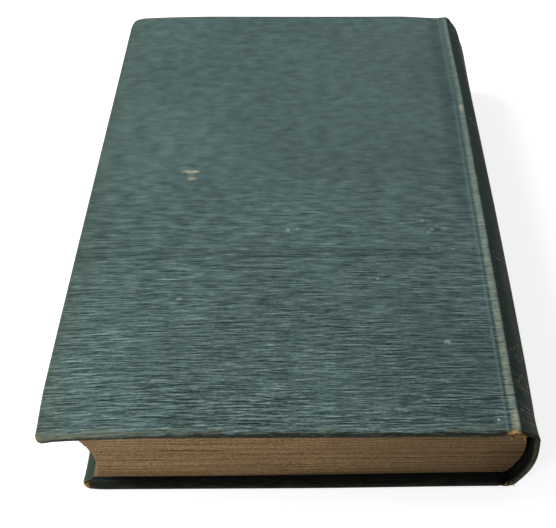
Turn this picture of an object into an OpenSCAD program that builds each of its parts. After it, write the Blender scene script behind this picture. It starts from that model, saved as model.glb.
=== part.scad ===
// Case-bound book lying flat on its front cover.
// A cloth case of two boards and a hollow spine holds a block of leaves that is rounded at the spine.
// The book has been read and set down aslant, so its upper cover has slipped towards the fore edge.
// Lengths are in millimetres. X runs from fore edge to spine, Y from tail to head and Z up.
// The origin is under the middle of the whole book, on the table.

/* [Covers] */
// Height of a cover from tail to head
cover_h = 190; // [120:1:300]
// Width of a cover from fore edge to joint
cover_w = 129.5; // [80:0.5:200]
// Thickness of the board inside a cover
board_t = 1.7; // [1.2:0.1:3.5]
// Worn round of the two corners at the fore edge
corner_r = 2.4; // [1.2:0.1:6]
// How far the upper cover has slipped past the lower one
slip = 4.6; // [0:0.1:6]

/* [Cloth and paper] */
// Thickness of the book cloth
cloth_t = 0.3; // [0.2:0.05:0.5]
// Width of the cloth folded in over the inside of a board
turn_in = 15; // [8:0.5:25]
// Thickness of the paper pasted inside a cover
paper_t = 0.15; // [0.1:0.05:0.3]
// Strip of folded cloth that the pasted paper leaves showing
paper_margin = 3.5; // [1:0.5:6]

/* [Leaves] */
// Thickness of all the leaves together
block_t = 32.9; // [20:0.1:60]
// Width of a leaf from fold to fore edge
page_w = 127.3; // [75:0.1:129]
// How far the covers stand past the leaves at head and tail
square_h = 3.1; // [1:0.1:6]
// Depth of the round of the folds, and of the hollow of the fore edge
block_round = 2.7; // [1:0.1:6]
// How far the leaves lean from the bottom of the block to the top
block_lean = 1.6; // [0:0.1:4]

/* [Spine] */
// How far the spine stands past the upper cover's joint edge
spine_reach = 11.4; // [9:0.1:18]
// Radius of the face of the spine
spine_r = 60; // [40:1:140]
// Radius where the spine turns into the upper joint
upper_round_r = 6; // [2:0.1:8]
// Radius where the spine turns into the lower joint, which the weight of the book has squared up
lower_round_r = 3.4; // [2:0.1:4]
// Thickness of the card strip inside the spine
inlay_t = 0.7; // [0.4:0.1:1.2]
// Thickness of the cloth glued over the folds
lining_t = 0.3; // [0.2:0.05:0.5]
// Air between the folds and the inside of the spine
hollow = 1.1; // [0.4:0.1:3]
// Width of the groove beside the upper cover
groove_w = 2; // [1:0.1:3.5]
// Depth of the groove beside the upper cover
groove_d = 1.2; // [0.4:0.1:1.6]

/* [Hidden] */
$fn = 120;

// Clearances: leaves to covers, covers to spine, spine to table, and the overrun of every cut
leaf_gap = 0.1;
joint_gap = 0.3;
foot_gap = 0.2;
over = 1;

// Shares that set the lesser sizes: edge round of a cover, fold at the spine ends, height of the lining,
// and slit where two folds of cloth meet at a corner
edge_round_share = 0.34;
spine_fold_share = 0.8;
lining_share = 0.96;
mitre_share = 0.5;

// Covers: cloth and board, then with the paper, then the whole book
slab_t = board_t + 2 * cloth_t;
cover_t = slab_t + paper_t;
book_t = block_t + 2 * (cover_t + leaf_gap);
mid_z = book_t / 2;
edge_r = slab_t * edge_round_share;
board_z = cloth_t + board_t;

// Places across the book
book_w = cover_w + spine_reach;
back_x = -book_w / 2;
front_x = back_x + slip;
groove_x = back_x + cover_w + joint_gap;
lower_joint_x = front_x + cover_w + joint_gap;

// Face of the spine, and the rounds that meet it and the flat of the joints without a corner
face_x = book_w / 2 - spine_r;
face_z = (book_t + foot_gap) / 2;
upper_z = book_t - upper_round_r;
upper_a = asin((upper_z - face_z) / (spine_r - upper_round_r));
upper_x = face_x + (spine_r - upper_round_r) * cos(upper_a);
lower_z = foot_gap + lower_round_r;
lower_a = asin((face_z - lower_z) / (spine_r - lower_round_r));
lower_x = face_x + (spine_r - lower_round_r) * cos(lower_a);
groove_r = (groove_w * groove_w + groove_d * groove_d) / (2 * groove_d);
wall_t = 2 * cloth_t + inlay_t;

// Arc of the folds: the fore edge has the same arc, one leaf further out
block_h = cover_h - 2 * square_h;
block_r = (block_t * block_t / 4 + block_round * block_round) / (2 * block_round);
block_a = atan(block_lean / block_t);
block_cx = book_w / 2 - wall_t - hollow - lining_t - block_r;
block_cz = mid_z - (block_r - block_round) * sin(block_a);
leaves_z = cover_t + leaf_gap;

// Shoulders: the outer leaves bend out behind the boards by the thickness of a board
shoulder = board_t;
crest_t = board_t / 2;
top_tip_z = leaves_z + block_t + shoulder;
low_tip_z = leaves_z - shoulder;
top_bend_x = max(fold_x(top_tip_z) - crest_t - shoulder, groove_x);
low_bend_x = max(fold_x(low_tip_z) - crest_t - shoulder, lower_joint_x);

// Place across the book of the folds at height z
function fold_x(z) = block_cx + sqrt(block_r * block_r - (z - block_cz) * (z - block_cz));

// Stretches an outline drawn in X and Z along the book, about its middle
module along_y(length) {
    rotate([90, 0, 0])
        linear_extrude(length, center = true)
            children();
}

// Rectangle from corner a to corner b with its corners rounded
module round_rect(a, b, r) {
    translate([a.x + r, a.y])
        square([b.x - a.x - 2 * r, b.y - a.y]);
    translate([a.x, a.y + r])
        square([b.x - a.x, b.y - a.y - 2 * r]);
    for (x = [a.x + r, b.x - r], y = [a.y + r, b.y - r])
        translate([x, y])
            circle(r);
}

// Plan of a cover drawn in by e, with its fore edge corners worn round
module cover_plan(e) {
    translate([corner_r, e - cover_h / 2])
        square([cover_w - corner_r - e, cover_h - 2 * e]);
    translate([e, corner_r - cover_h / 2])
        square([cover_w - 2 * e, cover_h - 2 * corner_r]);
    for (side = [-1, 1])
        translate([corner_r, side * (cover_h / 2 - corner_r)])
            circle(corner_r - e);
}

// Body of a cover drawn in by e, outer face down, fore edge at X zero, all its edges rounded
module slab(e) {
    intersection() {
        translate([0, 0, e])
            linear_extrude(slab_t - 2 * e)
                cover_plan(e);
        along_y(cover_h)
            round_rect([e, e], [cover_w - e, slab_t - e], edge_r - e);
        rotate([90, 0, 90])
            linear_extrude(cover_w)
                round_rect([e - cover_h / 2, e], [cover_h / 2 - e, slab_t - e], edge_r - e);
    }
}

// Space inside the folded cloth, drawn in by e: it is open towards the joint
module window(e, z, height) {
    translate([turn_in + e, turn_in + e - cover_h / 2, z])
        cube([cover_w - turn_in - e + over, cover_h - 2 * (turn_in + e), height]);
}

// Slit from the inside of a corner to its worn round, where the folded cloth is mitred
module mitre(side) {
    reach = turn_in - corner_r + over;
    translate([corner_r, side * (cover_h / 2 - corner_r), board_z])
        rotate([0, 0, -side * 45])
            translate([0, -cloth_t * mitre_share / 2, 0])
                cube([reach * sqrt(2), cloth_t * mitre_share, over]);
}

// Cloth of a cover: over the outer face, round the edges and folded in, with mitred corners
module cover_cloth() {
    difference() {
        slab(0);
        slab(cloth_t);
        window(0, board_z, over);
        for (side = [-1, 1])
            mitre(side);
    }
}

// Paper of a cover: it lies on the folded cloth and dips to the board inside it
module cover_paper() {
    difference() {
        intersection() {
            union() {
                window(0, board_z, cloth_t + paper_t);
                translate([paper_margin, paper_margin - cover_h / 2, slab_t])
                    cube([cover_w - paper_margin, cover_h - 2 * paper_margin, paper_t]);
            }
            translate([0, -cover_h / 2, 0])
                cube([cover_w - cloth_t, cover_h, cover_t]);
        }
        window(paper_t, board_z + paper_t, over);
    }
}

// Front cover: under the leaves
module at_front() {
    translate([front_x, 0, 0])
        children();
}

// Back cover: on top of the leaves, turned over
module at_back() {
    translate([back_x, 0, book_t])
        mirror([0, 0, 1])
            children();
}

// Outline of the leaves: hollow fore edge, round folds and a shoulder behind each board
module block_outline() {
    difference() {
        intersection() {
            union() {
                translate([back_x, leaves_z])
                    square([book_w, block_t]);
                translate([low_bend_x, low_tip_z])
                    square([book_w, mid_z - low_tip_z]);
                translate([top_bend_x, mid_z])
                    square([book_w, top_tip_z - mid_z]);
            }
            union() {
                translate([block_cx, block_cz])
                    circle(block_r);
                translate([block_cx - book_w, low_tip_z])
                    square([book_w, book_t]);
            }
        }
        translate([block_cx - page_w, block_cz])
            circle(block_r);
        translate([low_bend_x, low_tip_z])
            circle(shoulder);
        translate([top_bend_x, top_tip_z])
            circle(shoulder);
    }
}

// Outline of the spine drawn in by e, from x0 to its face, with the groove beside the upper cover
module spine_outline(e, x0) {
    difference() {
        intersection() {
            union() {
                intersection() {
                    translate([face_x, face_z])
                        circle(spine_r - e);
                    translate([x0, face_z - (spine_r - e) * sin(lower_a)])
                        square([book_w, (spine_r - e) * (sin(lower_a) + sin(upper_a))]);
                }
                translate([x0, face_z])
                    square([upper_x - x0, book_t - e - face_z]);
                translate([x0, foot_gap + e])
                    square([lower_x - x0, face_z - foot_gap - e]);
                translate([upper_x, upper_z])
                    circle(upper_round_r - e);
                translate([lower_x, lower_z])
                    circle(lower_round_r - e);
            }
            translate([x0, 0])
                square([book_w, book_t]);
        }
        translate([groove_x, book_t - groove_d + groove_r])
            circle(groove_r + e);
    }
}

// Layer of the spine between the depths e0 and e1, over the width of the card strip
module spine_layer(e0, e1) {
    intersection() {
        difference() {
            spine_outline(e0, groove_x);
            spine_outline(e1, groove_x - over);
        }
        translate([upper_x, lower_z])
            square([book_w, upper_z - lower_z]);
    }
}

module front_board() {
    color("#8a7350")
        at_front()
            slab(cloth_t);
}

module front_cloth() {
    color("#4f6664")
        at_front()
            cover_cloth();
}

module front_pastedown() {
    color("#cdbf9f")
        at_front()
            cover_paper();
}

module text_block() {
    color("#8d7553")
        along_y(block_h)
            block_outline();
}

// Lining: follows the folds from shoulder to shoulder
module spine_lining() {
    color("#b9a983")
        along_y(block_h * lining_share)
            intersection() {
                difference() {
                    translate([block_cx, block_cz])
                        circle(block_r + lining_t);
                    translate([block_cx, block_cz])
                        circle(block_r);
                }
                translate([0, low_tip_z])
                    square([book_w, top_tip_z - low_tip_z]);
            }
}

// Card strip: as tall as the covers, less the cloth folded over its ends
module spine_inlay() {
    color("#7d6a4c")
        along_y(cover_h - 2 * cloth_t)
            spine_layer(cloth_t, cloth_t + inlay_t);
}

// Spine cloth: face, shoulders and joints, with the cloth folded in over the card strip at both ends
module spine_cloth() {
    fold = turn_in * spine_fold_share;
    color("#26352f") {
        along_y(cover_h)
            difference() {
                spine_outline(0, groove_x);
                spine_outline(cloth_t, groove_x - over);
                translate([groove_x - over, 0])
                    square([lower_joint_x - groove_x + over, mid_z]);
            }
        for (side = [-1, 1]) {
            translate([0, side * (cover_h - fold) / 2, 0])
                along_y(fold)
                    spine_layer(cloth_t + inlay_t, wall_t);
            translate([0, side * (cover_h - cloth_t) / 2, 0])
                along_y(cloth_t)
                    spine_layer(cloth_t, wall_t);
        }
    }
}

module back_board() {
    color("#8a7350")
        at_back()
            slab(cloth_t);
}

module back_cloth() {
    color("#4f6664")
        at_back()
            cover_cloth();
}

module back_pastedown() {
    color("#cdbf9f")
        at_back()
            cover_paper();
}

front_board();
front_cloth();
front_pastedown();
text_block();
spine_lining();
spine_inlay();
spine_cloth();
back_board();
back_cloth();
back_pastedown();
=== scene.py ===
import math
import random

import bmesh
import bpy
import numpy as np
from mathutils import Matrix, Vector


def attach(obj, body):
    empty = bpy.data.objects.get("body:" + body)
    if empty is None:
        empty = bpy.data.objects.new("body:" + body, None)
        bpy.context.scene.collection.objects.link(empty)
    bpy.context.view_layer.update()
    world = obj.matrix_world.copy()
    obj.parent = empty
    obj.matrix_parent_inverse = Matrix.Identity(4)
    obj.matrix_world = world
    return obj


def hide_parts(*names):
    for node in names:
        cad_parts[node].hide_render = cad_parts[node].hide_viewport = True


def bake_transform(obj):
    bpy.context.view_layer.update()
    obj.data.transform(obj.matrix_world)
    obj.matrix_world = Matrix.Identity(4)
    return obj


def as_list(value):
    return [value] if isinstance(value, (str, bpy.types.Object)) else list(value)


# An old cloth-bound book lying on its front cover: case cloth, boards, endpapers, leaves and spine strip
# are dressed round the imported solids. Lengths are in millimetres in the solids' own frame (X from fore edge
# to spine, Y from tail to head, Z up) and become metres when a piece is finished.

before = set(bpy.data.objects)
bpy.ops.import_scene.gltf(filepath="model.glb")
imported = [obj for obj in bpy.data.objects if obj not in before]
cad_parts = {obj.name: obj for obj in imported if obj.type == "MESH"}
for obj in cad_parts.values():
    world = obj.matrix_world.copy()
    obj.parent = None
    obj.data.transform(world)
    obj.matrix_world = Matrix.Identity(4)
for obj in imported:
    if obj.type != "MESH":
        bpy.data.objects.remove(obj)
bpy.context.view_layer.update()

MM = 0.001
chance = random.Random(7)

# ----- Sizes of the book, as the solids have them -----

CLOTH = 0.3
BOARD = 1.7
PAPER = 0.15
TURN_IN = 15.0
CORNER = 2.4
SLAB = BOARD + 2 * CLOTH
HEAD = 95.0
BOOK_T = 38.0
BACK_FORE, BACK_JOINT = -70.45, 59.05
FRONT_FORE, FRONT_JOINT = -65.85, 63.65
CLEAR = 0.02  # between faces that lie on each other

# Cloth left bare round an endpaper, and at the fore edge of the front cover, where it is less
PAPER_MARGIN, FRONT_FORE_MARGIN = 3.5, 2.9

# Spine: centre X, centre Z and radius of its face, of the upper round and of the lower round
FACE = (10.45, 19.1, 60.0)
UPPER = (62.89, 32.0, 6.0)
LOWER = (64.89, 3.6, 3.4)
INLAY_T = 0.7
DOUBLED = 2 * CLOTH + 0.15  # cloth turned back on itself, with some slack

# Swells across the joints: middle X, half width and height
UPPER_GROOVE = (60.1, 0.7, -0.22)
UPPER_RIDGE = (62.1, 0.9, 0.32)
LOWER_GROOVE = (63.8, 0.6, 0.35)

# Leaves: their height, the arc of their folds, and the shoulders that bend out behind the boards
LEAF_H = 91.9
LEAF_Z = (2.55, 35.45)
LEAF_W = 127.3
FOLDS = (16.29, 16.63, 51.46)
SHOULDER = 1.7
TOP_BEND_X, LOW_BEND_X = 60.92, 63.95


def straight(value, start, length):
    """0 at start, 1 a length further on, with a straight run between them."""
    return min(max((value - start) / length, 0.0), 1.0)


def ramp(value, low, high):
    """0 at low, 1 at high, with a smooth run between them."""
    t = straight(value, low, high - low)
    return t * t * (3 - 2 * t)


def swell(x, middle, wide, high):
    """Height at x of a soft swell."""
    return high * np.exp(-(((x - middle) / wide) ** 2))


def through(value, *pairs):
    """Value read off a line through pairs of numbers."""
    return float(np.interp(value, *zip(*pairs)))


def lines(*marks):
    """Grid lines that run through marks of (place, step to the next mark)."""
    found = []
    for (start, step), (stop, _) in zip(marks, marks[1:]):
        count = max(1, round(abs(stop - start) / step))
        found += list(np.linspace(start, stop, count, endpoint=False))
    return found + [marks[-1][0]]


def mirrored(tail_lines):
    """Grid lines of the whole height, from those that run from the tail to the middle."""
    return tail_lines + [-v for v in tail_lines[-2::-1]]


# ----- How age has moved the flat shapes -----

# By Y: how far the upper cover's fore edge has bowed out, and how far the upper round is pressed in
BOWED = (
    (-95, 0.4), (-90, 0.85), (-80, 1.25), (-57, 1.12), (-20, 0.78), (15, 0.6), (51, 0.36), (95, 0.02),
)  # fmt: skip
PRESSED = (
    (-95, -0.15), (-93, 0.2), (-89, 0.42), (-84, 0.3), (-70, 0.16), (-45, 0.16), (-8, 0.46), (29, 1.05),
    (50, 1.42), (62, 1.42), (75, 1.5), (82, 1.3), (87, 1.1), (90, 1.4), (92, 2.0), (93.5, 2.9), (95, 3.6),
)  # fmt: skip


def sag(x, y):
    """Height of the upper cover over its flat place: crowned in the middle, drooping to the fore edge."""
    fore = max(0.0, 1 - (x - BACK_FORE) / 34)
    tail = max(0.0, 1 - (y + HEAD) / 70)
    crown = (0.55 + 0.3 * ramp(y, 50, HEAD)) * ramp(x, BACK_JOINT, 40)
    ripple = 0.12 * math.sin(x / 23 + 1) * math.cos(y / 29 + 0.6) * ramp(x, BACK_JOINT, 45)
    lip = 0.3 * ramp(y, -84, -HEAD) * ramp(x, BACK_JOINT, 45)
    return crown + ripple - lip - fore**1.6 * (1.1 + 1.35 * tail)


def corners(x, y):
    """Shift of the upper cover's corners: drawn out at the tail, rubbed round at the head."""
    off = math.hypot(x - BACK_FORE, abs(y) - HEAD)
    if y < 0:
        reach = 0.5 * ramp(off, 4.5, 0.5)
        return -0.6 * reach, -reach
    reach = 0.75 * ramp(off, 6, 0.5)
    return reach, -reach


def bow(x, y):
    """Shift of the upper cover's fore edge, which has bowed out, most of all near the tail."""
    return -through(y, *BOWED) * ramp(x, -30, BACK_FORE)


def pull(x, y, z):
    """Shift of the upper joint, which is drawn towards the fore edge at the head."""
    return -1.0 * ramp(y, 38, 90) * ramp(x, 50, 60) * ramp(z, 22, 34)


def slump(x, y, z):
    """Shift of the spine's upper round, pressed in along the book, and of the tail end, which has flared."""
    high = straight(z, 23, 10) * (1 - 0.35 * ramp(z, 34, 37.5))
    flared = 0.4 * ramp(y, -90, -95) * math.sin(math.pi * straight(z, 1, 26))
    return (flared - through(y, *PRESSED) * high) * straight(x, 61.5, 5)


def settle(x, y, z):
    """Rise of the upper joint and round: the round has sunk at the tail, the groove is filled at the head."""
    sunk = (1.05 - 0.95 * ramp(y, -45, 20)) * math.sin(math.pi * straight(x, 63, 5.7))
    filled = ramp(y, 10, 70) * swell(x, *UPPER_GROOVE[:2], 0.18)
    return (filled - sunk) * ramp(z, 30, 34)


# ----- Line of the case across the book: flat cover, groove, ridge, round and face of the spine -----


def arc(centre_x, centre_z, radius, start, stop, count):
    """X and Z of points along an arc, from one angle to another in degrees."""
    turn = np.radians(np.linspace(start, stop, count))
    return centre_x + radius * np.cos(turn), centre_z + radius * np.sin(turn)


def case_line(flat_x, flat_z, upward):
    """Lays, X and Z of one half of the case from the flat of a cover to the middle of the spine."""
    rounding = UPPER if upward else LOWER
    round_from, round_mid_z, round_r = rounding
    meet = math.degrees(math.asin((round_mid_z - FACE[1]) / (FACE[2] - round_r)))
    x = np.arange(flat_x, round_from, 0.1)
    if upward:
        z = flat_z + swell(x, *UPPER_GROOVE)
    else:
        lift = 0.2 * np.clip((x - 63.6) / 1.2, 0, 1)  # the lower round starts a little way up
        z = flat_z + swell(x, *LOWER_GROOVE) + lift
    round_x, round_z = arc(*rounding, 90 if upward else -90, meet, 60)
    face_x, face_z = arc(*FACE, meet, 0, 40)
    all_x = np.concatenate([x, round_x, face_x[1:]])
    all_z = np.concatenate([z, round_z, face_z[1:]])
    if upward:
        all_z += swell(all_x, *UPPER_RIDGE)
    run = np.concatenate([[0], np.cumsum(np.hypot(np.diff(round_x), np.diff(round_z)))])
    rest = run[-1] + np.cumsum(np.hypot(np.diff(face_x), np.diff(face_z)))
    lay = np.concatenate([x, round_from + run, round_from + rest])
    return lay, all_x, all_z


class HalfCase:
    """One half of the case: a cover with its joint and half of the spine."""

    def __init__(self, fore, joint, flat_z, upward):
        self.fore, self.joint, self.flat_z, self.upward = fore, joint, flat_z, upward
        self.inward = -1 if upward else 1
        self.round_from, round_mid_z, _ = UPPER if upward else LOWER
        self.lay, self.x, self.z = case_line(joint - 2.5, flat_z, upward)
        self.apex = self.lay[-1]
        on_face = np.abs(self.z - FACE[1]) < abs(round_mid_z - FACE[1])
        self.inlay_from = self.lay[np.argmax(on_face)]

    def outer(self, u):
        """X and Z of the outer face at lay u, and its inward direction."""
        if u <= self.lay[0]:
            return u, self.flat_z, 0.0, float(self.inward)
        step = 0.05
        x, z = np.interp(u, self.lay, self.x), np.interp(u, self.lay, self.z)
        ahead, behind = min(u + step, self.apex), u - step
        run_x = np.interp(ahead, self.lay, self.x) - np.interp(behind, self.lay, self.x)
        run_z = np.interp(ahead, self.lay, self.z) - np.interp(behind, self.lay, self.z)
        size = math.hypot(run_x, run_z)
        return float(x), float(z), -self.inward * run_z / size, self.inward * run_x / size

    def wall(self, u):
        """Thickness that the cloth folds round at lay u: board, nothing in the joint, strip in the spine."""
        board = (SLAB - DOUBLED) * ramp(u, self.joint + 0.8, self.joint - 0.15)
        strip = INLAY_T * ramp(u, self.inlay_from - 1.2, self.inlay_from + 0.3)
        return DOUBLED + board + strip

    def aged(self, x, y, z):
        """Place after age has moved it."""
        if self.upward and x < self.joint:
            out_x, out_y = corners(x, y)
            out_y -= 0.3 * ramp(y, -88, -HEAD) * ramp(x, self.joint, self.joint - 6)
            return x + bow(x, y) + pull(x, y, z) + out_x, y + out_y, z + sag(x, y)
        if x < self.joint:
            rubbed = 0.35 * ramp(math.hypot(x - self.fore, y + HEAD), 6, 0.5)
            skew = 0.4 * ramp(y, -60, -HEAD) * ramp(x, self.joint, 0)
            return x - rubbed, y - skew + rubbed, z
        return x + slump(x, y, z) + pull(x, y, z), y, z + settle(x, y, z)


back_half = HalfCase(BACK_FORE, BACK_JOINT, BOOK_T, True)
front_half = HalfCase(FRONT_FORE, FRONT_JOINT, 0.0, False)


def round_edge(wall):
    """Radius of the cloth's fold round an edge."""
    return 0.34 * wall


def wrap(run, wall):
    """How far out and how deep a fold lies, after a run of cloth from the middle of a corner's round."""
    r = round_edge(wall)
    flat, quarter, upright = CORNER - r, r * math.pi / 2, wall - 2 * r
    if run <= flat:
        return run, 0.0
    run -= flat
    if run <= quarter:
        return flat + r * math.sin(run / r), r - r * math.cos(run / r)
    run -= quarter
    if run <= upright:
        return CORNER, r + run
    run -= upright
    if run <= quarter:
        return flat + r * math.cos(run / r), wall - r + r * math.sin(run / r)
    return flat - (run - quarter), wall


# Runs of cloth over a board's edge: start of the edge, its upright, and the inside from the corner's middle
EDGE_RUN = CORNER - round_edge(SLAB)
QUARTER_RUN = round_edge(SLAB) * math.pi / 2
INNER_RUN = EDGE_RUN + 2 * QUARTER_RUN + SLAB - 2 * round_edge(SLAB)
MITRE_RUN = INNER_RUN + EDGE_RUN - 0.15
END_RUN = INNER_RUN + EDGE_RUN + TURN_IN - CORNER

# Grid lines of the folds, from the cut edge to the start of the board's edge, with the steps between them
FOLD_MARKS = (
    (END_RUN, 1.6),
    (MITRE_RUN, 0.75),
    (INNER_RUN, 0.3),
    (INNER_RUN - QUARTER_RUN, 0.4),
    (EDGE_RUN + QUARTER_RUN, 0.3),
    (EDGE_RUN, 0.8),
)


def folded(half, u, v):
    """Place in the case of a point at lay u, v of the flat cloth."""
    middle_x, middle_y = half.fore + CORNER, HEAD - CORNER
    past_fore, past_end = middle_x - u, abs(v) - middle_y
    side = math.copysign(1, v)
    run = max(past_fore, past_end, 0.0)
    if past_fore <= 0:
        turn = math.pi / 2
    elif past_end <= 0:
        turn = 0.0
    elif past_fore >= past_end:
        turn = math.pi / 4 * past_end / past_fore
    else:
        turn = math.pi / 2 - math.pi / 4 * past_fore / past_end
    x, z, in_x, in_z = half.outer(max(u, middle_x))
    out, deep = wrap(run, half.wall(u))
    y = min(max(v, -middle_y), middle_y) + side * out * math.sin(turn)
    if past_fore > 0:
        x -= out * math.cos(turn)
    return half.aged(x + in_x * deep, y, z + in_z * deep)


# ----- Mesh helpers -----


def on_lines(vert, u_lines, v_lines):
    """The lines on which a point of a grid from -1 to 1 lies."""
    i = round((vert.co.x + 1) / 2 * (len(u_lines) - 1))
    j = round((vert.co.y + 1) / 2 * (len(v_lines) - 1))
    return u_lines[i], v_lines[j]


def lined_grid(u_lines, v_lines):
    """Flat grid of faces whose lines run where they are told, in millimetres."""
    bm = bmesh.new()
    bmesh.ops.create_grid(bm, x_segments=len(u_lines) - 1, y_segments=len(v_lines) - 1, size=1)
    for vert in bm.verts:
        vert.co = (*on_lines(vert, u_lines, v_lines), 0)
    return bm


def keep_lay(bm):
    """Writes each point's place on the flat sheet, which the cloth's pattern follows."""
    lay = bm.verts.layers.float_vector.new("lay")
    for vert in bm.verts:
        vert[lay] = vert.co


def thickened(bm, wall):
    """Gives a sheet its wall, inwards from the faces that were drawn, and the same depth at every fold."""
    bm.normal_update()
    inward = bm.verts.layers.float_vector.new("inward")
    for vert in bm.verts:
        vert[inward] = -wall * vert.normal
    made = bmesh.ops.extrude_face_region(bm, geom=bm.faces[:], use_keep_orig=True)["geom"]
    for vert in (part for part in made if isinstance(part, bmesh.types.BMVert)):
        vert.co += vert[inward]
    bm.verts.layers.float_vector.remove(inward)
    bmesh.ops.recalc_face_normals(bm, faces=bm.faces)


def finished(bm, name, *materials, sharp=40):
    """Object of a mesh drawn in millimetres."""
    bmesh.ops.scale(bm, vec=(MM, MM, MM), verts=bm.verts)
    mesh = bpy.data.meshes.new(name)
    for face in bm.faces:
        face.smooth = True
    bm.to_mesh(mesh)
    bm.free()
    mesh.set_sharp_from_angle(angle=math.radians(sharp))
    piece = bpy.data.objects.new(name, mesh)
    bpy.context.scene.collection.objects.link(piece)
    for material in materials:
        mesh.materials.append(material)
    return piece


# ----- Materials -----


def colour(code):
    """Linear colour of an sRGB hex value."""
    parts = [int(code[i : i + 2], 16) / 255 for i in (1, 3, 5)]
    return (*[p / 12.92 if p <= 0.04045 else ((p + 0.055) / 1.055) ** 2.4 for p in parts], 1.0)


def fill(node, inputs):
    """Sets a node's inputs: a socket is linked to its input, and any other value is set on it."""
    for key, value in inputs.items():
        if isinstance(value, bpy.types.NodeSocket):
            node.id_data.links.new(value, node.inputs[key])
        else:
            node.inputs[key].default_value = value


def add(tree, kind, inputs=None, out=0, stops=(), **settings):
    """Adds a node and gives its output: inputs are values or sockets, stops are a ramp's places and colours."""
    made = tree.nodes.new("ShaderNode" + kind)
    for name, value in settings.items():
        setattr(made, name, value)
    fill(made, inputs or {})
    for i, (place, shade) in enumerate(stops):
        ramp_stops = made.color_ramp.elements
        stop = ramp_stops[i] if i < len(ramp_stops) else ramp_stops.new(place)
        stop.position = place
        stop.color = colour(shade)
    return made.outputs[out]


def new_material(name):
    """Material with a bare shader, its node tree and the shader."""
    material = bpy.data.materials.new(name)
    material.use_nodes = True
    tree = material.node_tree
    return material, tree, tree.nodes["Principled BSDF"]


def limited(tree, share, runs):
    """Share that is left by runs of (value, low, high, least, most), each rising smoothly from least to most."""
    for run in runs:
        risen = add(tree, "MapRange", dict(enumerate(run)), interpolation_type="SMOOTHSTEP")
        share = add(tree, "Math", {0: share, 1: risen}, operation="MULTIPLY")
    return share


def layered(tree, shade, layers):
    """Lays colours over a shade: each has a share, and runs that limit it."""
    for code, share, runs in layers:
        mask = limited(tree, share, runs)
        shade = add(tree, "Mix", {0: mask, 6: shade, 7: colour(code)}, out=2, data_type="RGBA")
    return shade


def thread_waves(tree, *sets):
    """Waves of sets of threads, each with the axis that it is counted along and its pitch."""
    for axis, pitch in sets:
        turned = add(tree, "Math", {0: axis, 1: 2 * math.pi / pitch}, operation="MULTIPLY")
        yield add(tree, "Math", {0: turned}, operation="SINE")


# Grains of the cloth's wear: sizes along and across the threads, in millimetres, and detail
GRAINS = (
    ("drift", 70, 45, 1), ("patch", 30, 16, 2), ("fade", 45, 40, 3), ("hands", 9, 14, 2),
    ("rub", 2.5, 0.6, 2), ("mottle", 1.6, 4.0, 3), ("blotch", 5.5, 3.3, 2), ("wander", 6, 5, 2),
    ("streak", 6, 1.3, 1), ("strand", 9, 0.5, 1), ("gilding", 1.5, 0.9, 3), ("edge", 5, 1.2, 2),
    ("fray", 3.5, 0.45, 3), ("crumb", 1.6, 1.0, 3), ("speck", 0.8, 0.5, 2), ("crease", 22, 3, 2),
)  # fmt: skip

# Slubs: pitch of the threads, length of a thick stretch, and the weights of a thread and of those beside it
SLUBS = (
    (0.34, 6.0, {0: -0.11, 1: 0.5, 2: -0.11}),
    (0.46, 11.0, {0: -0.1, 1: 0.45, 2: -0.1}),
    (0.36, 1.5, {1: 0.26}),
)
SLUB_MEAN = 0.395
THREAD_SHIFT = 7.31  # from one thread to the next in the noise, so that they are unlike

# Gilding: rules by their distance from the ends, and rows of lozenges by theirs from the tail
GILT_RULES = (4.9, 7.9, 62.3, 64.4)
LOZENGE_ROWS = (17.2, 27.5)
LOZENGE_SIZE = (2.4, 3.7)
LOZENGE_HALF_PITCH = 2.34

# Spots of wear on the back cover: place on the cloth, reach along and across, grain and colour
BACK_SPOTS = (
    # Tail end of the joint, worn to the threads
    ((BACK_JOINT + 1.8, -HEAD - 0.2), (2.8, 1.9), "crumb", "#a88a5c"),
    ((BACK_JOINT + 2.9, -HEAD + 4.0), (1.0, 5.0), "rub", "#9c9b86"),
    # Chip
    ((-36.9, 2.6), (1.6, 2.6), "fade", "#7f8672"),
    ((-37.2, 4.3), (4.0, 1.1), "rub", "#bdb8a2"),
    ((-36.7, 1.0), (2.3, 1.2), "rub", "#a29d83"),
    # Bare place on the ridge, and two scuffs
    ((BACK_JOINT + 2.2, 38), (1.0, 3.0), "rub", "#b5a98a"),
    ((-35.5, -50.1), (1.2, 0.6), "speck", "#b7bfb0"),
    ((45.3, -65.8), (1.6, 1.1), "speck", "#9fada2"),
    # Small dent with a pale rim
    ((46.4, -22.6), (2.2, 1.3), "fade", "#445755"),
    ((43.4, -23.6), (1.0, 0.9), "fade", "#7d8d87"),
    ((44.6, -22.4), (1.0, 0.8), "fade", "#7d8d87"),
    ((46.3, -21.0), (0.9, 0.9), "fade", "#74857f"),
    ((48.6, -21.8), (1.3, 0.9), "fade", "#7d8d87"),
    # Flecks
    ((41.7, -18.5), (0.7, 0.7), "fade", "#93a19b"),
    ((43.8, -30.6), (0.8, 0.9), "fade", "#84938d"),
    ((50.7, -30.6), (0.8, 0.7), "fade", "#84938d"),
    ((55.8, -30.4), (1.5, 0.9), "fade", "#657066"),
    ((25.7, -42.7), (0.7, 0.7), "fade", "#93a19b"),
    ((44.6, -63.3), (0.7, 0.8), "patch", "#93a19b"),
    ((56.8, -90.8), (0.5, 0.45), "fade", "#d5d5c4"),
    ((-22.2, -88.5), (0.5, 0.4), "fade", "#c5cbc0"),
    ((-2.8, -22.6), (0.9, 1.0), "fade", "#93a19b"),
    ((0.2, -22.2), (0.7, 0.8), "fade", "#8b9a94"),
)


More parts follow.
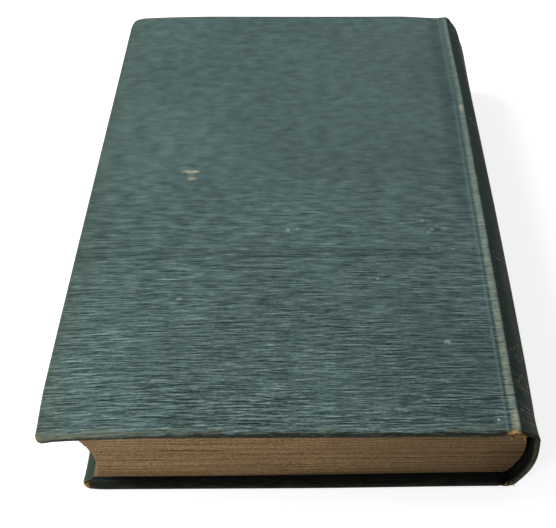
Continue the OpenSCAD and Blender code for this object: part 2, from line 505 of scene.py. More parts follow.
def book_cloth(name, half):
    """Dyed cotton book cloth, starch filled and calendered: matt, with slubs across the cover and a fine weave."""
    material, tree, shader = new_material(name)
    fore, joint, tail = half.fore, half.joint, -HEAD
    spine = joint + 3.4 if half.upward else LOWER[0]
    lay = add(tree, "Attribute", out="Vector", attribute_name="lay")
    u, v = add(tree, "SeparateXYZ", {0: lay}).node.outputs[:2]
    past = add(tree, "Math", {0: v}, operation="ABSOLUTE")
    # Round the spine the threads are drawn askew
    askew = add(tree, "MapRange", {0: u, 1: spine, 2: spine + 9, 3: 0, 4: 1.8})
    askew = add(tree, "Math", {0: v, 1: askew}, operation="ADD")
    woven = add(tree, "CombineXYZ", {0: u, 1: askew})

    grain = {}
    for key, along, across, detail in GRAINS:
        spot = add(tree, "VectorMath", {0: woven, 1: (1 / along, 1 / across, 1)}, operation="MULTIPLY")
        grain[key] = add(tree, "TexNoise", {"Vector": spot, "Scale": 1, "Detail": detail})

    # Slubs: thick and thin stretches of threads, which drift a little off straight and set off those beside them
    drift = add(tree, "Math", {0: grain["drift"], 1: 0.8, 2: askew}, operation="MULTIPLY_ADD")
    slub = 0.0
    for pitch, length, weights in SLUBS:
        row = add(tree, "Math", {0: drift, 1: pitch}, operation="SNAP")
        thread = add(tree, "CombineXYZ", {0: u, 1: row})
        for beside, weight in weights.items():
            size, shift = (1 / length, THREAD_SHIFT / pitch, 0), (0, THREAD_SHIFT * beside, 0)
            spot = add(tree, "VectorMath", {0: thread, 1: size, 2: shift}, operation="MULTIPLY_ADD")
            thick = add(tree, "TexNoise", {"Vector": spot, "Scale": 1, "Detail": 1.5}, noise_dimensions="2D")
            slub = add(tree, "Math", {0: thick, 1: weight, 2: slub}, operation="MULTIPLY_ADD")
    slub = add(tree, "Math", {0: slub, 1: SLUB_MEAN}, operation="SUBTRACT")

    # The cloth is rubbed smooth towards the head: single threads are lost first, and soft streaks last longer
    worn = add(tree, "MapRange", {0: v, 1: -90, 2: 12, 3: 1.5, 4: 0.05})
    patchy = add(tree, "MapRange", {0: grain["patch"], 1: 0.3, 2: 0.7, 3: 0.7, 4: 1.3})
    worn = add(tree, "Math", {0: worn, 1: patchy}, operation="MULTIPLY")
    slub = add(tree, "Math", {0: slub, 1: worn, 2: 0.5}, operation="MULTIPLY_ADD")
    soft = add(tree, "Math", {0: grain["streak"], 1: 0.5}, operation="SUBTRACT")
    soft = limited(tree, soft, [(v, -85, -42, 0, 0.42), (v, -35, 25, 1, 0.4)])
    slub = add(tree, "Math", {0: slub, 1: soft}, operation="ADD")

    # Weave: threads 0.6 mm apart along the cover and 0.9 mm across it, drawn a little coarse so that they show
    warp, weft = thread_waves(tree, (u, 0.6), (drift, 0.9))
    weave = add(tree, "Math", {0: warp, 1: weft}, operation="ADD")

    dyes = ((0.2, "#1b2d2b"), (0.38, "#3c504e"), (0.5, "#546967"), (0.62, "#687d7b"), (0.8, "#8ba09d"))
    shade = add(tree, "ValToRGB", {0: slub}, stops=dyes)
    fade = add(tree, "MapRange", {0: grain["fade"], 1: 0.3, 2: 0.7, 3: 0.95, 4: 1.21})
    blotch = add(tree, "MapRange", {0: grain["blotch"], 1: 0.3, 2: 0.7, 3: 0.83, 4: 1.17})
    fade = add(tree, "Math", {0: fade, 1: blotch}, operation="MULTIPLY")
    bright = add(tree, "MapRange", {0: worn, 1: 0.3, 2: 2.0, 3: 0.02, 4: 0.1})
    bright = add(tree, "Math", {0: weave, 1: bright, 2: 1.0}, operation="MULTIPLY_ADD")
    bright = add(tree, "Math", {0: bright, 1: fade}, operation="MULTIPLY")
    shade = add(tree, "Mix", {0: 1.0, 6: shade, 7: bright}, out=2, data_type="RGBA", blend_type="MULTIPLY")

    # Olive where it was held; on the back cover, painted shade towards the tail, a painted pool of light towards the
    # head and a painted highlight along the board's edge; a joint worn pale on its ridge; a spine painted dark, for
    # darker cloth and for painted shade on the side turned from the light, and browned
    wander = add(tree, "MapRange", {0: grain["wander"], 1: 0.3, 2: 0.7, 3: -0.35, 4: 0.35})
    ridge_end = add(tree, "Math", {0: u, 1: wander}, operation="ADD")
    narrow = add(tree, "MapRange", {0: v, 1: -20, 2: 80, 3: 0.0, 4: 0.7})
    ridge = add(tree, "Math", {0: ridge_end, 1: narrow}, operation="SUBTRACT")
    held = 0.38 if half.upward else 0.8
    layers = [
        ("#525c48", held, [(u, fore + 12, fore), (grain["hands"], 0.25, 0.7, 0.5, 1)]),
        ("#444d3b", 0.5, [(u, fore + 2.5, fore - 0.5)]),
    ]
    if half.upward:
        # Painted highlight along the board's edge at the joint
        painted_edge_highlight = [
            (u, joint - 0.8, joint - 0.1),
            (u, joint + 0.6, joint + 0.1),
            (grain["rub"], 0.3, 0.6, 0.2, 1),
            (v, 60, -70, 0.3, 1),
        ]
        worn_ridge = [
            (ridge, joint + 1.0, joint + 1.6),
            (ridge_end, joint + 3.6, joint + 3.2),
            (grain["strand"], 0.34, 0.56, 0.45, 1),
            (grain["rub"], 0.35, 0.6, 0.35, 1),
            (grain["mottle"], 0.32, 0.6, 0.45, 1),
            (v, 90, -80, 0.55, 1),
        ]
        layers += [
            # Painted shade towards the tail, and a painted pool of light towards the head
            ("#2f3d3b", 0.3, [(u, 5, 55), (v, -25, -95)]),
            ("#8fa5a1", 0.08, [(u, -10, 50), (v, 10, 80)]),
            ("#2c3f3e", 0.32, [(u, joint - 8, joint - 3), (u, joint - 0.4, joint - 1.2), (v, -45, 0)]),
            ("#869c98", 0.46, painted_edge_highlight),
            ("#8f9580", 0.95, worn_ridge),
        ]
    layers += [
        # Spine painted dark: darker cloth, and painted shade on the side turned from the light
        ("#2a342f", 0.82, [(u, spine - 0.2, spine + 0.3)]),
        ("#63655b", 0.85, [(u, spine + 1.4, spine + 7.0), (grain["patch"], 0.3, 0.7, 0.7, 1)]),
        ("#7d8172", 0.6, [(u, spine + 0.2, spine + 1.0), (v, tail + 34, tail + 8), (grain["strand"], 0.58, 0.66)]),
    ]
    shade = layered(tree, shade, layers)

    # Gilding on the spine, much rubbed: plain rules and two rows of lozenges
    gilt = 0.0
    leaned = add(tree, "Math", {0: askew}, operation="ABSOLUTE")
    for rule in GILT_RULES:
        line = add(tree, "Math", {0: leaned, 1: HEAD - rule, 2: 0.22}, operation="COMPARE")
        gilt = add(tree, "Math", {0: gilt, 1: line}, operation="MAXIMUM")
    aside = add(tree, "Math", {0: half.apex, 1: u}, operation="SUBTRACT")
    aside = add(tree, "Math", {0: aside, 1: LOZENGE_HALF_PITCH, 2: -LOZENGE_HALF_PITCH}, operation="WRAP")
    for row in LOZENGE_ROWS:
        along = add(tree, "Math", {0: askew, 1: tail + row}, operation="SUBTRACT")
        off = add(tree, "CombineXYZ", {0: aside, 1: along})
        off = add(tree, "VectorMath", {0: off}, operation="ABSOLUTE")
        slope = (*[1 / size for size in LOZENGE_SIZE], 0)
        lozenge = add(tree, "VectorMath", {0: off, 1: slope}, out="Value", operation="DOT_PRODUCT")
        line = add(tree, "Math", {0: lozenge, 1: 0.85, 2: 0.07}, operation="COMPARE")
        gilt = add(tree, "Math", {0: gilt, 1: line}, operation="MAXIMUM")
    gilt = limited(tree, gilt, [(grain["gilding"], 0.42, 0.66, 0.12, 0.8), (u, spine + 0.9, spine + 1.5)])
    shade = add(tree, "Mix", {0: gilt, 6: shade, 7: colour("#8d8268")}, out=2, data_type="RGBA")

    # Head and tail: a pale rubbed band, a dark edge with tan threads showing, fresher cloth turned in, and painted
    # black shade on the cloth turned in inside the spine's hollow. The dark edge begins unevenly, and later towards
    # the fore edge.
    edge = HEAD - CORNER + EDGE_RUN
    later = add(tree, "MapRange", {0: u, 1: fore + 20, 2: fore + 62, 3: -0.65, 4: 0.0})
    edge_dark = add(tree, "Math", {0: past, 1: later}, operation="ADD")
    uneven = add(tree, "MapRange", {0: grain["edge"], 1: 0.3, 2: 0.7, 3: -0.4, 4: 0.4})
    edge_dark = add(tree, "Math", {0: edge_dark, 1: uneven}, operation="ADD")
    pale_band = [(past, edge - 2.0, edge - 0.8), (past, edge + 0.6, edge), (grain["edge"], 0.45, 0.65, 0.0, 0.5)]
    tan_threads = [(past, edge - 0.6, edge), (past, edge + 2.6, edge + 1.6), (grain["fray"], 0.54, 0.66)]
    crumbled = [
        (past, edge - 1.5, edge),
        (past, edge + 1.3, edge + 0.5),
        (u, fore + 55, fore + 6),
        (grain["crumb"], 0.3, 0.55),
    ]
    layers = [
        ("#7f8b79", 1.0, pale_band),
        ("#211e16", 0.93, [(edge_dark, edge - 0.3, edge + 0.6), (past, edge + 4.6, edge + 3.4)]),
        ("#2b322d", 0.7, [(edge_dark, edge - 1.1, edge - 0.3), (grain["fray"], 0.5, 0.42)]),
        ("#6a6449", 0.6, tan_threads),
        ("#706e58", 0.6, crumbled),
        ("#1f2b29", 0.6, [(past, edge + 2.8, edge + 3.6)]),
        # Painted black shade on the cloth turned in inside the spine's hollow
        ("#050605", 0.98, [(past, edge + 2.4, edge + 3.2), (u, spine, spine + 0.8)]),
    ]
    # The lower cover's tail edge is painted near black, for dirt and for painted shade where its strip lies under
    # the leaves; it is streaked, and paler along its rim
    if not half.upward:
        at_tail, off_spine = (v, tail + 6, tail + 2), (u, spine + 0.5, spine - 0.5)
        dirt_and_shade = [(past, edge + 0.9, edge + 1.9), at_tail, (u, fore + 1, fore + 20, 0.6, 1), off_spine]
        streaks = [
            (past, edge + 1.2, edge + 2.2),
            (past, edge + 6.0, edge + 3.2),
            at_tail,
            off_spine,
            (grain["edge"], 0.35, 0.65, 0.2, 1),
        ]
        rim = [(past, edge + 0.2, edge + 0.7), (past, edge + 2.1, edge + 1.4), (grain["edge"], 0.3, 0.6, 0.15, 1)]
        layers += [
            ("#3a4a47", 0.7, [(u, fore - 1.0, fore - 2.6), (past, edge, edge - 3)]),
            # Near black for dirt and for painted shade under the leaves
            ("#0b0c09", 0.96, dirt_and_shade),
            ("#282924", 0.7, streaks),
            ("#4a4a41", 0.8, rim),
        ]

    # Spots of wear: both fore corners are rubbed to the board, and the back cover has more
    bare = "#6e6244" if half.upward else "#94713b"
    spots = [((fore + 0.2, side * (HEAD + 0.6)), (3.4, 3.6), "crumb", bare) for side in (-1, 1)]
    if half.upward:
        spots += BACK_SPOTS
    for at, (reach_u, reach_v), key, code in spots:
        off = add(tree, "VectorMath", {0: lay, 1: (*at, 0)}, operation="SUBTRACT")
        off = add(tree, "VectorMath", {0: off, 1: (1 / reach_u, 1 / reach_v, 0)}, operation="MULTIPLY")
        far = add(tree, "VectorMath", {0: off}, out="Value", operation="LENGTH")
        layers.append((code, 0.9, [(far, 1.0, 0.35), (grain[key], 0.4, 0.54, 0.08, 1)]))
    # A crease runs across the back cover, drawn as painted shade: a soft painted shade and two thin dark lines of
    # painted shade that take turns
    if half.upward:
        slant = add(tree, "Math", {0: u, 1: -0.016, 2: v}, operation="MULTIPLY_ADD")
        fades, crease = (u, 54, 36, 0.2, 1), grain["crease"]
        soft_shade = [(v, -35.5, -33), (v, -29.5, -32), (crease, 0.35, 0.65, 0.3, 1), (u, 58, 36, 0.2, 1)]
        layers += [
            ("#2b3d3b", 0.3, soft_shade),
            ("#20302f", 0.6, [(slant, -34.2, -33.6), (slant, -32.8, -33.4), (crease, 0.42, 0.58), fades]),
            ("#20302f", 0.5, [(slant, -32.2, -31.7), (slant, -31.1, -31.6), (crease, 0.56, 0.46), fades]),
        ]
    shade = layered(tree, shade, layers)

    relief = add(tree, "Math", {0: weave, 1: 0.04, 2: slub}, operation="MULTIPLY_ADD")
    bump = add(tree, "Bump", {"Strength": 0.4, "Distance": 0.3 * MM, "Height": relief})
    metal = add(tree, "Math", {0: gilt, 1: 0.35}, operation="MULTIPLY")
    matt = add(tree, "MapRange", {0: gilt, 3: 0.78, 4: 0.45})
    fill(shader, {"Base Color": shade, "Normal": bump, "Metallic": metal, "Roughness": matt})
    fill(shader, {"Specular IOR Level": 0.05})
    return material


def leaf_edges():
    """Cut edges of old book paper: matt, browned and dusty, in fine lines along the leaves."""
    material, tree, shader = new_material("browned_leaf_edges")
    here = add(tree, "TexCoord", out="Object")
    grains = []
    # Runs of leaves, single leaves drawn coarse enough to show, and the nap of the cut
    for wide, thick, detail in ((60, 1.3, 2.0), (9, 0.4, 2.0), (0.9, 0.5, 3.0)):
        size = [1 / (w * MM) for w in (wide, wide, thick)]
        spot = add(tree, "VectorMath", {0: here, 1: size}, operation="MULTIPLY")
        grains.append(add(tree, "TexNoise", {"Vector": spot, "Scale": 1, "Detail": detail}))
    line = add(tree, "Mix", {0: 0.55, 2: grains[0], 3: grains[1]})
    line = add(tree, "Mix", {0: 0.62, 2: line, 3: grains[2]})
    browns = ((0.34, "#5f4a31"), (0.45, "#80674a"), (0.55, "#957b58"), (0.66, "#b0946c"))
    shade = add(tree, "ValToRGB", {0: line}, stops=browns)
    # Darker towards the spine: painted shade for the light that falls from the left. Darker on the lowest leaves and
    # low by the spine, and paler high by the spine
    x, _, z = add(tree, "SeparateXYZ", {0: here}).node.outputs
    layers = [
        ("#4b3b29", 0.6, [(x, -0.025, 0.085)]),
        ("#4a3a26", 0.4, [(z, 0.013, 0.002)]),
        ("#3a2d1c", 0.35, [(x, 0.054, 0.064), (z, 0.027, 0.018)]),
        ("#a98d66", 0.6, [(x, 0.059, 0.064), (z, 0.029, 0.033)]),
    ]
    shade = layered(tree, shade, layers)
    bump = add(tree, "Bump", {"Strength": 0.35, "Distance": 0.2 * MM, "Height": line})
    fill(shader, {"Base Color": shade, "Normal": bump, "Roughness": 0.9, "Specular IOR Level": 0.12})
    return material


def endpaper():
    """Wove endpaper gone cream with age: matt, clouded, foxed and browned along its edges."""
    material, tree, shader = new_material("aged_endpaper")
    here = add(tree, "TexCoord", out="Object")
    x, y, _ = add(tree, "SeparateXYZ", {0: here}).node.outputs
    ends = add(tree, "Math", {0: y}, operation="ABSOLUTE")
    cloud = add(tree, "TexNoise", {"Vector": here, "Scale": 1 / (38 * MM), "Detail": 5, "Roughness": 0.6})
    shade = add(tree, "ValToRGB", {0: cloud}, stops=((0.32, "#c3b28f"), (0.5, "#cfc09e"), (0.68, "#d6c8a7")))
    # Foxing in rust spots 1 to 3 mm wide, and browning from the open edges inwards
    spots = add(tree, "TexVoronoi", {"Vector": here, "Scale": 1 / (17 * MM), "Randomness": 1})
    clouded = (cloud, 0.3, 0.7, 0.4, 1)
    layers = [
        ("#a5814f", 0.5, [(spots, 0.1, 0.02)]),
        ("#8a7050", 0.8, [(ends, 0.076, 0.092), clouded]),
        ("#8a7050", 0.8, [(x, -0.047, -0.063), clouded]),
        ("#65502f", 0.9, [(ends, 0.0895, 0.0915)]),
        ("#876a48", 0.9, [(x, -0.0595, -0.0615)]),
    ]
    shade = layered(tree, shade, layers)
    fill(shader, {"Base Color": shade, "Roughness": 0.9, "Specular IOR Level": 0.2})
    return material


def flecked(name, size, detail, shades, finish):
    """Material with flecks of a size in millimetres, and the shader's other values."""
    material, tree, shader = new_material(name)
    here = add(tree, "TexCoord", out="Object")
    fleck = add(tree, "TexNoise", {"Vector": here, "Scale": 1 / (size * MM), "Detail": detail})
    fill(shader, {"Base Color": add(tree, "ValToRGB", {0: fleck}, stops=shades), **finish})
    return material


def millboard():
    """Grey-brown millboard pressed from rope and paper waste: matt, flecked with fibres."""
    shades = ((0.35, "#6f5b3e"), (0.5, "#8a7350"), (0.68, "#a08a64"))
    return flecked("pressed_millboard", 0.8, 3, shades, {"Roughness": 0.95})


def raw_cotton():
    """Undyed cotton fibres pulled out of a torn edge: matt, tan with old glue and dust."""
    shades = ((0.32, "#624e31"), (0.5, "#93703f"), (0.68, "#b09263"))
    return flecked("raw_cotton_fibres", 1.1, 2, shades, {"Roughness": 0.95, "Specular IOR Level": 0.1})


def mull():
    """Open weave cotton glued over the folds: threads a millimetre apart, brown with old glue."""
    material, tree, shader = new_material("glued_mull")
    _, y, z = add(tree, "SeparateXYZ", {0: add(tree, "TexCoord", out="Object")}).node.outputs
    warp, weft = thread_waves(tree, (y, 1.1 * MM), (z, 1.1 * MM))
    weave = add(tree, "Math", {0: warp, 1: weft}, operation="MAXIMUM")
    level = add(tree, "MapRange", {0: weave, 1: -1, 2: 1})
    shade = add(tree, "ValToRGB", {0: level}, stops=((0.2, "#7d6642"), (0.8, "#b9a983")))
    fill(shader, {"Base Color": shade, "Roughness": 0.9})
    return material


upper_cloth = book_cloth("slubbed_book_cloth_upper", back_half)
lower_cloth = book_cloth("slubbed_book_cloth_lower", front_half)
edge_finish = leaf_edges()
paper_finish = endpaper()
board_finish = millboard()
mull_finish = mull()
fibre_finish = raw_cotton()

# ----- Case cloth: one sheet for each half, folded round its board and over the ends of the spine -----


def case_cloth(half, name):
    """Cloth of one half of the case, with the sides and the area of its flat sheet in metres."""
    middle_x, middle_y = half.fore + CORNER, HEAD - CORNER
    u_lines = lines(
        *[(middle_x - run, step) for run, step in FOLD_MARKS],
        (middle_x, 2.2),
        (half.joint - 3, 0.2),
        (half.round_from, 0.6),
        (half.apex, 0),
    )
    v_lines = mirrored(lines(*[(-middle_y - run, step) for run, step in FOLD_MARKS], (-middle_y, 2.0), (0, 0)))
    bm = lined_grid(u_lines, v_lines)
    flat = (u_lines[-1] - u_lines[0], v_lines[-1] - v_lines[0])

    # The corners are cut off aslant before the cloth is turned in
    for side in (-1, 1):
        cut = Vector((middle_x - MITRE_RUN, side * middle_y, 0))
        whole = bm.verts[:] + bm.edges[:] + bm.faces[:]
        bmesh.ops.bisect_plane(bm, geom=whole, plane_co=cut, plane_no=(-1, side, 0), dist=1e-5)
        waste = []
        for face in bm.faces:
            spot = face.calc_center_median()
            past_fore, past_end = middle_x - spot.x, side * spot.y - middle_y
            in_corner = 0 < past_fore < MITRE_RUN and 0 < past_end < MITRE_RUN
            if past_fore + past_end > MITRE_RUN and not in_corner:
                waste.append(face)
        bmesh.ops.delete(bm, geom=waste, context="FACES")
    area = sum(face.calc_area() for face in bm.faces)

    keep_lay(bm)
    for vert in bm.verts:
        vert.co = folded(half, vert.co.x, vert.co.y)
    if not half.upward:
        bmesh.ops.reverse_faces(bm, faces=bm.faces)
    thickened(bm, CLOTH)
    piece = finished(bm, name, upper_cloth if half.upward else lower_cloth)
    return piece, [size * MM for size in flat], area * MM * MM


back_case, back_flat, back_area = case_cloth(back_half, "back_case_cloth")
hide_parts("back_cloth", "spine_cloth")
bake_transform(back_case)

front_case, front_flat, front_area = case_cloth(front_half, "front_case_cloth")
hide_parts("front_cloth", "spine_cloth")
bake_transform(front_case)

# ----- Boards: the upper one has warped with its cover, and the lower one keeps its solid -----


def warped_board():
    """Upper board with rounded fore corners, bent as its cover is."""
    x_lines = lines((BACK_FORE + CLOTH, 2.5), (BACK_JOINT - CLOTH, 0))
    y_lines = lines((CLOTH - HEAD, 4), (HEAD - CLOTH, 0))
    bm = lined_grid(x_lines, y_lines)
    tips = [v for v in bm.verts if len(v.link_edges) == 2 and v.co.x < 0]
    bmesh.ops.bevel(bm, geom=tips, offset=CORNER, segments=4, profile=0.5, affect="VERTICES", material=-1)
    for vert in bm.verts:
        vert.co = back_half.aged(vert.co.x, vert.co.y, BOOK_T - CLOTH - CLEAR)
    thickened(bm, BOARD - 2 * CLEAR)
    piece = finished(bm, "back_board_warped", board_finish)
    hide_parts("back_board")
    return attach(piece, "back_cover")


warped_board()

# ----- Endpapers: pasted inside a cover, over the joint and on to the shoulder of the leaves -----

PAPER_LIFT = 0.07  # of an endpaper's face over the outermost leaf


def fold_x(z):
    """X of the folds at height z."""
    return FOLDS[0] + math.sqrt(FOLDS[2] ** 2 - (z - FOLDS[1]) ** 2)


def shoulder(x, bend_x):
    """How far an outer leaf has bent out at x, behind a board."""
    past = min(max(x - bend_x, 0), SHOULDER)
    return SHOULDER - math.sqrt(SHOULDER**2 - past**2)


def pasted_paper(half, name):
    """Endpaper inside one cover, which shows the edge of the cloth turned in under it."""
    if half.upward:
        margin, end_x, bend_x, leaf_z = PAPER_MARGIN, 62.9, TOP_BEND_X, LEAF_Z[1] + PAPER_LIFT
    else:
        margin, end_x, bend_x, leaf_z = FRONT_FORE_MARGIN, 65.0, LOW_BEND_X, LEAF_Z[0] - PAPER_LIFT
    u_lines = lines(
        (half.fore + margin, 2),
        (half.fore + TURN_IN - 1, 0.4),
        (half.fore + TURN_IN + 1.4, 2.5),
        (half.joint - 2, 0.3),
        (end_x, 0),
    )
    tail_lines = lines((PAPER_MARGIN - HEAD, 2), (TURN_IN - HEAD - 1, 0.4), (TURN_IN - HEAD + 1.4, 4), (0, 0))
    bm = lined_grid(u_lines, mirrored(tail_lines))
    for vert in bm.verts:
        x, y = vert.co.x, vert.co.y
        inside = min(x - half.fore, HEAD - abs(y)) - TURN_IN
        deep = SLAB + PAPER - CLOTH * ramp(inside, -0.2, 1.0)
        over_joint = ramp(x, half.joint - 1.2, half.joint + 0.4)
        z = half.flat_z + half.inward * deep
        z += (leaf_z - half.inward * shoulder(x, bend_x) - z) * over_joint
        if not half.upward:
            y += 0.45 * ramp(x, -50, 50) * ramp(y, -70, -HEAD)
        vert.co = half.aged(x, y, z) if x < half.joint else (x + pull(x, y, z), y, z)
    if half.upward:
        bmesh.ops.reverse_faces(bm, faces=bm.faces)
    thickened(bm, PAPER)
    piece = finished(bm, name, paper_finish)
    return piece


back_paper = pasted_paper(back_half, "back_endpaper")
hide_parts("back_pastedown")
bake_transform(back_paper)
front_paper = pasted_paper(front_half, "front_endpaper")
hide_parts("front_pastedown")
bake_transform(front_paper)

# ----- Leaves: thin layers with uneven edges, hollow at the fore edge and bent out at the shoulders -----

LAYERS = 156
GATHERING = 7  # layers that were folded and cut together

# Leaves that stand back from the tail edge: layer, shares from fore edge to fold, and depth
GAPS = (
    (147, 0.0, 0.3, 1.0), (140, 0.0, 0.2, 1.4), (131, 0.0, 0.16, 1.6), (130, 0.0, 0.3, 1.2),
    (121, 0.2, 0.5, 1.2), (108, 0.04, 0.6, 0.7), (88, 0.16, 0.33, 2.2), (87, 0.15, 0.34, 2.4),
    (86, 0.15, 0.33, 2.4), (85, 0.17, 0.32, 2.0), (84, 0.0, 0.18, 1.4), (83, 0.0, 0.16, 1.2),
)  # fmt: skip


def bent_out(x, t):
    """How far a leaf has bent out at x: the outermost ones sharply, those inside more gently."""
    bend_x = TOP_BEND_X if t > 0 else LOW_BEND_X
    gentle_from = bend_x - 9 * (1 - abs(t) ** 3)
    gentle = SHOULDER * ramp(x, gentle_from, gentle_from + 11)
    bend = gentle + (shoulder(x, bend_x) - gentle) * abs(t) ** 6
    return math.copysign(abs(t) ** 3, t) * bend


def leaf_point(z, uneven, across, along):
    """Place on a leaf at height z, by its shares from fore edge to fold and from tail to head."""
    middle, half_t = sum(LEAF_Z) / 2, (LEAF_Z[1] - LEAF_Z[0]) / 2
    t = (z - middle) / half_t
    tail, head, fore_tail, fore_head = uneven
    flare = 0.8 * max(t, 0.0) ** 1.2
    fore = fold_x(z) - LEAF_W + fore_tail + (fore_head - fore_tail) * along - flare
    end = fold_x(z)
    for _ in range(3):
        end = fold_x(z + bent_out(end, t))
    x = fore + (end - fore) * across
    y = -LEAF_H + tail + (2 * LEAF_H + head - tail) * along
    wave = 0.05 * math.sin(x / 9 + z * 8)
    y += wave + 1.15 * (1 - along) * ramp(x, -50, 50) * ramp(t, 0.3, -1)
    z += bent_out(x, t)
    return x + pull(x, y, z), y, z + min(0.0, sag(x, y) - CLEAR) * ((t + 1) / 2) ** 2


def leaves():
    """All leaves as one piece: layered sides, and the open faces of the first and the last leaf."""
    across = lines((0.0, 0.02), (0.64, 0.05), (0.9, 0.008), (1.0, 0))
    along = lines((0.0, 0.1), (1.0, 0))
    rim = [(a, 0.0) for a in across[:-1]] + [(1.0, b) for b in along[:-1]]
    rim += [(a, 1.0) for a in across[:0:-1]] + [(0.0, b) for b in along[:0:-1]]

    uneven = []
    for k in range(LAYERS):
        if k % GATHERING == 0:
            gathering = [chance.gauss(0, 0.07) for _ in range(4)]
        uneven.append([g + chance.gauss(0, 0.04) for g in gathering])

    # Sides: two rows of points for each layer, so that every layer has an edge of its own
    rows = 2 * LAYERS - 1
    bm = lined_grid(range(len(rim) + 1), range(rows + 1))
    thick = (LEAF_Z[1] - LEAF_Z[0]) / LAYERS
    for vert in bm.verts:
        k, upper = divmod(round(vert.co.y), 2)
        across_at, along_at = rim[round(vert.co.x) % len(rim)]
        vert.co = leaf_point(LEAF_Z[0] + thick * (k + upper), uneven[k], across_at, along_at)
        for layer, start, stop, depth in GAPS:
            if k == layer and along_at == 0:
                vert.co.y += depth * ramp(across_at, start, start + 0.06) * ramp(across_at, stop, stop - 0.1)

    # Outer faces of the first and the last leaf
    for z, k in ((LEAF_Z[0], 0), (LEAF_Z[1], LAYERS - 1)):
        made = bmesh.ops.create_grid(bm, x_segments=len(across) - 1, y_segments=len(along) - 1, size=1)["verts"]
        for face in {face for vert in made for face in vert.link_faces}:
            face.material_index = 1
        for vert in made:
            vert.co = leaf_point(z, uneven[k], *on_lines(vert, across, along))
    bmesh.ops.remove_doubles(bm, verts=bm.verts, dist=1e-4)
    bmesh.ops.recalc_face_normals(bm, faces=bm.faces)
    piece = finished(bm, "leaves", edge_finish, paper_finish, sharp=30)
    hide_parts("text_block")
    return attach(piece, "block")


leaves()

# ----- Card strip inside the spine -----


def spine_strip():
    """Card strip that lines the cloth from one round of the spine to the other."""
    stop = {half: half.inlay_from + 0.4 for half in (back_half, front_half)}
    run = (back_half.apex - stop[back_half]) + (front_half.apex - stop[front_half])
    bm = lined_grid(lines((0, 1), (run, 0)), lines((CLOTH - HEAD, 4), (HEAD - CLOTH, 0)))
    deep = CLOTH + CLEAR
    for vert in bm.verts:
        half, u = back_half, stop[back_half] + vert.co.x
        if u > back_half.apex:
            half, u = front_half, front_half.apex - (u - back_half.apex)
        x, z, in_x, in_z = half.outer(u)
        vert.co = half.aged(x + in_x * deep, vert.co.y, z + in_z * deep)
    thickened(bm, INLAY_T - 2 * CLEAR)
    piece = finished(bm, "spine_strip", board_finish)
    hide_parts("spine_inlay")
    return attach(piece, "block")


spine_strip()

# ----- Torn threads: at the tail end of the upper joint, along the tail edge and at the lower end of the spine -----

JOINT_THREADS, EDGE_THREADS, SPINE_THREADS = 90, 110, 14
THREAD_PARTS, THREAD_SIDES = 4, 5


def torn_threads(name, starts, reach, thick):
    """Short tubes that bend away from where they start, in a direction of their own."""
    bm = bmesh.new()
    for start, way in starts:
        heading = Vector(way) + Vector([chance.gauss(0, 0.45) for _ in range(3)])
        heading.normalize()
        bend = Vector([chance.gauss(0, 0.5) for _ in range(3)])
        step = reach * chance.uniform(0.5, 1.2) / THREAD_PARTS
        turn = heading.to_track_quat("Z", "Y").to_matrix().to_4x4()
        radius = thick * chance.uniform(0.35, 0.6)
        place = Matrix.Translation(start) @ turn
        ring = bmesh.ops.create_circle(bm, cap_ends=True, segments=THREAD_SIDES, radius=radius, matrix=place)
        end = ring["verts"][0].link_faces[0]
        for part in range(THREAD_PARTS):
            passed = end
            made = bmesh.ops.extrude_face_region(bm, geom=[end], use_keep_orig=True)["geom"]
            end = next(piece for piece in made if isinstance(piece, bmesh.types.BMFace))
            if part:
                bmesh.ops.delete(bm, geom=[passed], context="FACES_ONLY")
            way_on = (heading + bend * part / THREAD_PARTS).normalized() * step
            bmesh.ops.translate(bm, vec=way_on, verts=end.verts[:])
    bmesh.ops.recalc_face_normals(bm, faces=bm.faces)
    piece = finished(bm, name, fibre_finish)
    return piece


starts = []
for _ in range(JOINT_THREADS):
    x = chance.gauss(60.7, 0.9) if chance.random() < 0.65 else chance.uniform(62, 64.4)
    z = through(x, (57, 36.9), (62.4, 37.2), (66, 35.2)) - 0.8 * chance.random()
    starts.append(((x, chance.uniform(-94.9, -93.8), z), (0.15, -0.35, -0.8)))
joint_threads = torn_threads("joint_tail_threads", starts, 1.4, 0.24)
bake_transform(joint_threads)

starts = []
for _ in range(EDGE_THREADS):
    x = chance.uniform(-62, 57)
    z = 36.6 + sag(x, -HEAD) + chance.uniform(-0.5, 0.5)
    starts.append(((x, -94.92, z), (chance.choice((-2.2, 2.2)), -0.12, -0.2)))
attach(torn_threads("edge_tail_threads", starts, 1.5, 0.13), "back_cover")

starts = []
for _ in range(SPINE_THREADS):
    x = chance.uniform(64.5, 68.0)
    starts.append(((x, -94.9, through(x, (64.5, 0.9), (66.5, 1.6), (68.5, 4.0))), (0.3, -0.2, 0.6)))
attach(torn_threads("spine_tail_threads", starts, 1.0, 0.14), "block")

# ----- Solids that stay, and their finishes -----

for node_name, finish in (("front_board", board_finish), ("spine_lining", mull_finish)):
    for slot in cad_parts[node_name].material_slots:
        slot.material = finish

for piece, flat, area, under in (
    (back_case, back_flat, back_area, ["back_board_warped", "spine_strip"]),
    (front_case, front_flat, front_area, ["front_board", "spine_strip"]),
):
    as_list(under)

# ----- Stage: camera, floor, lights -----

scene = bpy.context.scene
scene.view_settings.view_transform = "Standard"

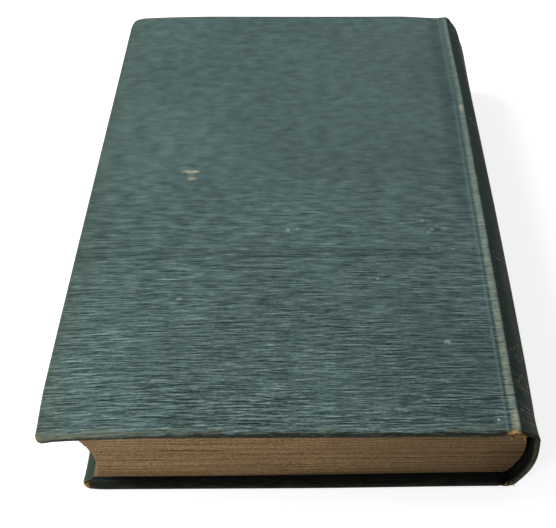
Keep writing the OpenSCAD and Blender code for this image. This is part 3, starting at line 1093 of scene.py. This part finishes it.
PHOTO_WIDTH = 556
PHOTO_SHIFT = -46.2  # of the view's middle, in the photo's pixels
CAMERA_AT = Vector((7.15, -187.4, 234.2)) * MM
YAW, PITCH, ROLL = (math.radians(a) for a in (0.70, 52.40, 0.35))
forward = Vector((math.sin(YAW) * math.cos(PITCH), math.cos(YAW) * math.cos(PITCH), -math.sin(PITCH)))
level = Vector((math.cos(YAW), -math.sin(YAW), 0))
upright = level.cross(forward)
right = math.cos(ROLL) * level + math.sin(ROLL) * upright
up = math.cos(ROLL) * upright - math.sin(ROLL) * level

lens = bpy.data.cameras.new("photo_view")
lens.sensor_width = 36
lens.lens = 50.3
lens.shift_x = PHOTO_SHIFT / PHOTO_WIDTH
lens.clip_start, lens.clip_end = 0.01, 10
camera = bpy.data.objects.new("photo_view", lens)
camera.matrix_world = Matrix.Translation(CAMERA_AT) @ Matrix((right, up, -forward)).transposed().to_4x4()
scene.collection.objects.link(camera)
scene.camera = camera


def seen(tree):
    """1 for rays that come to the camera straight, mirrored or through a clear piece, and 0 for the others."""
    rays = add(tree, "LightPath").node.outputs
    met = add(tree, "Math", {0: rays["Is Camera Ray"], 1: rays["Is Glossy Ray"]}, operation="MAXIMUM")
    return add(tree, "Math", {0: met, 1: rays["Is Transmission Ray"]}, operation="MAXIMUM")


def pale_floor():
    """Matt pale floor that the camera sees as white where no shadow falls."""
    material, tree, shader = new_material("pale_floor")
    fill(shader, {"Base Color": colour("#dcdcdc"), "Roughness": 1.0, "Specular IOR Level": 0.0})
    share = add(tree, "Math", {0: seen(tree), 1: 0.74}, operation="MULTIPLY")
    white = add(tree, "Emission", {"Color": (1, 1, 1, 1), "Strength": share})
    mixed = add(tree, "AddShader", {0: shader.outputs[0], 1: white})
    fill(tree.nodes["Material Output"], {"Surface": mixed})
    return material


bm = bmesh.new()
bmesh.ops.create_grid(bm, x_segments=1, y_segments=1, size=6000)
bmesh.ops.translate(bm, vec=(0, 0, -0.05), verts=bm.verts)
floor = finished(bm, "floor", pale_floor())

world = bpy.data.worlds.new("studio")
world.use_nodes = True
scene.world = world
sky = world.node_tree
studio = sky.nodes["Background"]
fill(studio, {"Color": colour("#f2f5f8"), "Strength": 0.3})
white = add(sky, "Background", {"Color": (1, 1, 1, 1), "Strength": 1.0})
mixed = add(sky, "MixShader", {0: seen(sky), 1: studio.outputs[0], 2: white})
fill(sky.nodes["World Output"], {"Surface": mixed})


def softbox(name, at, towards, size, power):
    """Round soft lamp that faces a place."""
    lamp = bpy.data.lights.new(name, "AREA")
    lamp.shape = "DISK"
    lamp.size = size
    lamp.energy = power
    thing = bpy.data.objects.new(name, lamp)
    thing.location = at
    thing.rotation_euler = (Vector(towards) - Vector(at)).to_track_quat("-Z", "Y").to_euler()
    scene.collection.objects.link(thing)


softbox("window", at=(-0.6, 0.16, 0.62), towards=(0, 0.02, 0.02), size=0.5, power=5.3)
softbox("front_fill", at=(-0.34, -0.36, 0.1), towards=(-0.03, -0.09, 0.02), size=0.16, power=1.15)
